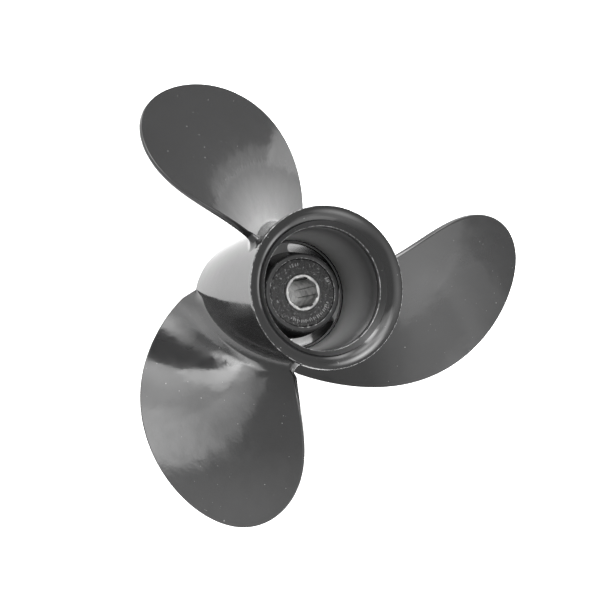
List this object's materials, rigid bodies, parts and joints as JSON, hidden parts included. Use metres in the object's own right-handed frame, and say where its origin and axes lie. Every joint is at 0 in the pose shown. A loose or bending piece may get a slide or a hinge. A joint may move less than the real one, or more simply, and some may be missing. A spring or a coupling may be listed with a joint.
{
  "type": "outboard propeller",
  "caption": "Right-hand three-blade outboard boat propeller with through-hub exhaust, flared aft ring, rubber torsion bush and splined sleeve.",
  "frame": {"origin": "centre of the splined sleeve's forward thrust face, on the shaft axis", "axes": "+Z along the shaft axis pointing aft, away from the gearcase; +X along blade 1's reference line; right-handed"},
  "size_m": [0.201, 0.2125, 0.099],
  "materials": {
    "black_gloss_paint": "cast aluminium under gloss black paint",
    "rubber": "moulded black rubber",
    "sleeve_steel": "machined and broached"
  },
  "bodies": {
    "propeller": {"outer_hub": "black_gloss_paint", "diffuser_ring": "black_gloss_paint", "inner_hub": "black_gloss_paint", "rib_1": "black_gloss_paint", "rib_2": "black_gloss_paint", "rib_3": "black_gloss_paint", "blade_1": "black_gloss_paint", "blade_2": "black_gloss_paint", "blade_3": "black_gloss_paint", "rubber_bush": "rubber"},
    "sleeve": {"splined_sleeve": "sleeve_steel"}
  },
  "joints": [
    {"name": "bush_windup", "type": "hinge", "parent": "propeller", "child": "sleeve", "pos_m": [0, 0, 0], "axis": [0, 0, 1], "range_deg": [-10, 10], "stiffness_Nm_per_rad": 460}
  ]
}
